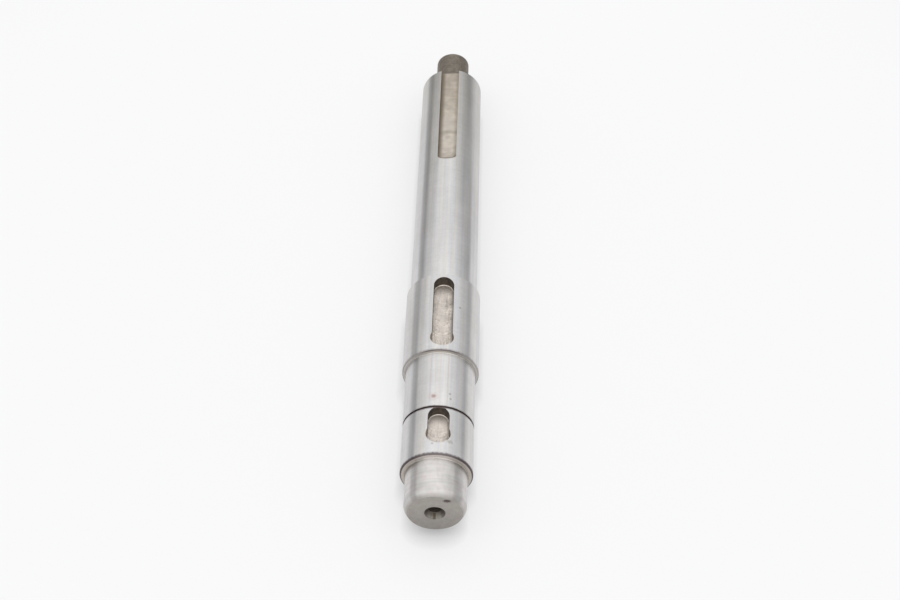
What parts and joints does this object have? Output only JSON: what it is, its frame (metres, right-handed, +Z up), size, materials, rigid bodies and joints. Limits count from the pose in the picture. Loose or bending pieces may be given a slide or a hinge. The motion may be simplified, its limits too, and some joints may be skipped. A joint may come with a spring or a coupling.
{
  "type": "stepped shaft",
  "caption": "Turned steel shaft with a journal, grooved seat, collar, long seat and end spigot, and keyways milled along its top.",
  "frame": {"origin": "on the shaft's axis, midway between its two ends", "axes": "+Y along the axis, from the short journal end to the spigot end; +Z up through the keyways; +X to the right seen from the journal end"},
  "size_m": [0.022, 0.1906, 0.022],
  "materials": {
    "steel": "ground and turned bare steel"
  },
  "bodies": {
    "root": {"stepped_shaft": "steel"}
  },
  "joints": []
}
